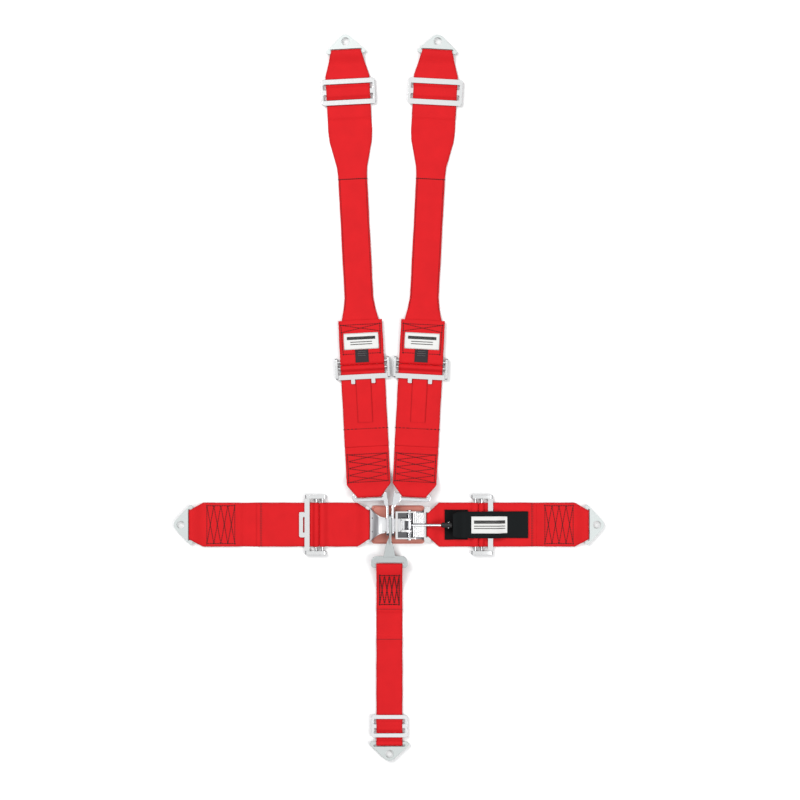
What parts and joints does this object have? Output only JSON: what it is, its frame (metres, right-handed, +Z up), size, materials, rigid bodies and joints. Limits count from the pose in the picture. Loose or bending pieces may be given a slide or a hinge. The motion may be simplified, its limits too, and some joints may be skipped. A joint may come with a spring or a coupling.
{
  "type": "racing harness",
  "caption": "Racing harness laid flat: lap, shoulder and crotch straps with adjusters and bolt-in plates, joined by a lever latch and link buckle.",
  "frame": {"origin": "on the resting plane under the middle of the buckle's tongue", "axes": "+Z up from the surface it lies on, +Y towards the shoulder anchors, +X towards the latch's lever"},
  "size_m": [0.7297, 1.2321, 0.0214],
  "materials": {
    "red_webbing": "woven",
    "black_webbing": "woven",
    "label_cloth": "matt",
    "care_tag": "matt",
    "pad_leather": "matt",
    "black_grip": "matt",
    "chromed_steel": "polished",
    "zinc_plate": "satin",
    "plated_bar": "satin"
  },
  "bodies": {
    "buckle": {"buckle_pad": "pad_leather", "link_plate": "chromed_steel", "latch_base": "chromed_steel", "latch_pin": "chromed_steel", "latch_cover": "chromed_steel", "latch_spring_upper": "chromed_steel", "latch_spring_lower": "chromed_steel", "keeper_patch": "black_webbing", "lap_right_inner_webbing": "red_webbing", "lap_right_adjuster_frame": "plated_bar", "lap_right_loose_bar": "plated_bar"},
    "lever": {"lever_rod": "chromed_steel", "lever_grip": "black_grip"},
    "claw": {"latch_claw": "chromed_steel"},
    "lever_pull": {"lever_strap": "black_webbing", "lever_strap_label": "label_cloth"},
    "lap_left_strap": {"lap_left_inner_webbing": "red_webbing"},
    "lap_left_adjuster": {"lap_left_adjuster_frame": "plated_bar", "lap_left_loose_bar": "plated_bar"},
    "lap_left_belt": {"lap_left_outer_webbing": "red_webbing"},
    "lap_left_anchor": {"lap_left_anchor_plate": "zinc_plate"},
    "lap_right_belt": {"lap_right_outer_webbing": "red_webbing"},
    "lap_right_anchor": {"lap_right_anchor_plate": "zinc_plate"},
    "shoulder_left_link_swing": {"shoulder_left_link": "chromed_steel"},
    "shoulder_left_strap": {"shoulder_left_lower_webbing": "red_webbing"},
    "shoulder_left_adjuster": {"shoulder_left_pull_tab": "red_webbing", "shoulder_left_adjuster_frame": "plated_bar", "shoulder_left_loose_bar": "plated_bar"},
    "shoulder_left_belt": {"shoulder_left_label_end": "red_webbing", "shoulder_left_upper_webbing": "red_webbing", "shoulder_left_label": "label_cloth", "shoulder_left_care_tag": "care_tag"},
    "shoulder_left_slide": {"shoulder_left_three_bar_slide": "plated_bar", "shoulder_left_slide_webbing": "red_webbing"},
    "shoulder_left_anchor": {"shoulder_left_anchor_plate": "zinc_plate"},
    "shoulder_right_link_swing": {"shoulder_right_link": "chromed_steel"},
    "shoulder_right_strap": {"shoulder_right_lower_webbing": "red_webbing"},
    "shoulder_right_adjuster": {"shoulder_right_pull_tab": "red_webbing", "shoulder_right_adjuster_frame": "plated_bar", "shoulder_right_loose_bar": "plated_bar"},
    "shoulder_right_belt": {"shoulder_right_label_end": "red_webbing", "shoulder_right_upper_webbing": "red_webbing", "shoulder_right_label": "label_cloth", "shoulder_right_care_tag": "care_tag"},
    "shoulder_right_slide": {"shoulder_right_three_bar_slide": "plated_bar", "shoulder_right_slide_webbing": "red_webbing"},
    "shoulder_right_anchor": {"shoulder_right_anchor_plate": "zinc_plate"},
    "crotch_link_swing": {"crotch_link": "zinc_plate"},
    "crotch_strap": {"crotch_webbing": "red_webbing"},
    "crotch_slide": {"crotch_three_bar_slide": "plated_bar", "crotch_slide_webbing": "red_webbing"},
    "crotch_anchor": {"crotch_anchor_plate": "zinc_plate"}
  },
  "joints": [
    {"name": "lever_open", "type": "hinge", "parent": "buckle", "child": "lever", "pos_m": [0.0323, 0, 0.015], "axis": [0, -1, 0], "range_deg": [0, 100]},
    {"name": "claw_release", "type": "hinge", "parent": "buckle", "child": "claw", "pos_m": [0.0323, 0, 0.015], "axis": [0, 1, 0], "range_deg": [0, 30]},
    {"name": "lever_pull_swing", "type": "hinge", "parent": "lever", "child": "lever_pull", "pos_m": [0.1053, 0, 0.015], "axis": [0, -1, 0], "range_deg": [0, 60]},
    {"name": "lap_left_lift", "type": "hinge", "parent": "buckle", "child": "lap_left_strap", "pos_m": [-0.0395, 0, 0.0049], "axis": [0, 1, 0], "range_deg": [0, 45]},
    {"name": "lap_left_adjuster_tilt", "type": "hinge", "parent": "lap_left_strap", "child": "lap_left_adjuster", "pos_m": [-0.1154, 0, 0.0042], "axis": [0, 1, 0], "range_deg": [0, 20]},
    {"name": "lap_left_adjust", "type": "slide", "parent": "lap_left_adjuster", "child": "lap_left_belt", "axis": [-1, 0, 0], "range_m": [-0.03, 0.03], "deforming": ["lap_left_outer_webbing"]},
    {"name": "lap_left_anchor_swivel", "type": "hinge", "parent": "lap_left_belt", "child": "lap_left_anchor", "pos_m": [-0.3375, 0, 0.0049], "axis": [0, 1, 0], "range_deg": [-4, 60]},
    {"name": "lap_right_adjust", "type": "slide", "parent": "buckle", "child": "lap_right_belt", "axis": [1, 0, 0], "range_m": [-0.03, 0.03], "deforming": ["lap_right_outer_webbing"]},
    {"name": "lap_right_anchor_swivel", "type": "hinge", "parent": "lap_right_belt", "child": "lap_right_anchor", "pos_m": [0.3326, 0, 0.0049], "axis": [0, -1, 0], "range_deg": [-4, 60]},
    {"name": "shoulder_left_link_tilt", "type": "hinge", "parent": "buckle", "child": "shoulder_left_link_swing", "pos_m": [-0.0045, 0, 0.0136], "axis": [1, 0, 0], "range_deg": [0, 10]},
    {"name": "shoulder_left_lift", "type": "hinge", "parent": "shoulder_left_link_swing", "child": "shoulder_left_strap", "pos_m": [-0.03574, 0.05139, 0.0136], "axis": [0.9986, 0.0523, 0], "range_deg": [0, 45]},
    {"name": "shoulder_left_adjust", "type": "slide", "parent": "shoulder_left_strap", "child": "shoulder_left_adjuster", "axis": [-0.0523, 0.9986, 0], "range_m": [-0.025, 0.03], "deforming": ["shoulder_left_lower_webbing"]},
    {"name": "shoulder_left_fold", "type": "hinge", "parent": "shoulder_left_adjuster", "child": "shoulder_left_belt", "pos_m": [-0.04757, 0.27718, 0.0042], "axis": [0.9986, 0.0523, 0], "range_deg": [0, 30]},
    {"name": "shoulder_left_slide_shift", "type": "slide", "parent": "shoulder_left_belt", "child": "shoulder_left_slide", "axis": [-0.0523, 0.9986, 0], "range_m": [-0.012, 0.012]},
    {"name": "shoulder_left_anchor_swivel", "type": "hinge", "parent": "shoulder_left_belt", "child": "shoulder_left_anchor", "pos_m": [-0.07508, 0.80196, 0.0049], "axis": [0.9986, 0.0523, 0], "range_deg": [-4, 60]},
    {"name": "shoulder_right_link_tilt", "type": "hinge", "parent": "buckle", "child": "shoulder_right_link_swing", "pos_m": [0.0045, 0, 0.0136], "axis": [1, 0, 0], "range_deg": [0, 10]},
    {"name": "shoulder_right_lift", "type": "hinge", "parent": "shoulder_right_link_swing", "child": "shoulder_right_strap", "pos_m": [0.04024, 0.05139, 0.0136], "axis": [0.9986, -0.0523, 0], "range_deg": [0, 45]},
    {"name": "shoulder_right_adjust", "type": "slide", "parent": "shoulder_right_strap", "child": "shoulder_right_adjuster", "axis": [0.0523, 0.9986, 0], "range_m": [-0.025, 0.03], "deforming": ["shoulder_right_lower_webbing"]},
    {"name": "shoulder_right_fold", "type": "hinge", "parent": "shoulder_right_adjuster", "child": "shoulder_right_belt", "pos_m": [0.05207, 0.27718, 0.0042], "axis": [0.9986, -0.0523, 0], "range_deg": [0, 30]},
    {"name": "shoulder_right_slide_shift", "type": "slide", "parent": "shoulder_right_belt", "child": "shoulder_right_slide", "axis": [0.0523, 0.9986, 0], "range_m": [-0.012, 0.012]},
    {"name": "shoulder_right_anchor_swivel", "type": "hinge", "parent": "shoulder_right_belt", "child": "shoulder_right_anchor", "pos_m": [0.07958, 0.80196, 0.0049], "axis": [0.9986, -0.0523, 0], "range_deg": [-4, 60]},
    {"name": "crotch_link_tilt", "type": "hinge", "parent": "buckle", "child": "crotch_link_swing", "pos_m": [0, 0, 0.0136], "axis": [-1, 0, 0], "range_deg": [0, 10]},
    {"name": "crotch_lift", "type": "hinge", "parent": "crotch_link_swing", "child": "crotch_strap", "pos_m": [-0.0015, -0.0695, 0.0136], "axis": [-1, 0, 0], "range_deg": [0, 45]},
    {"name": "crotch_slide_shift", "type": "slide", "parent": "crotch_strap", "child": "crotch_slide", "axis": [0, -1, 0], "range_m": [-0.012, 0]},
    {"name": "crotch_anchor_swivel", "type": "hinge", "parent": "crotch_strap", "child": "crotch_anchor", "pos_m": [-0.0015, -0.3706, 0.0049], "axis": [-1, 0, 0], "range_deg": [-4, 60]}
  ],
  "couplings": [
    {"joint": "claw_release", "follows": "lever_open", "ratio": 0.3}
  ]
}
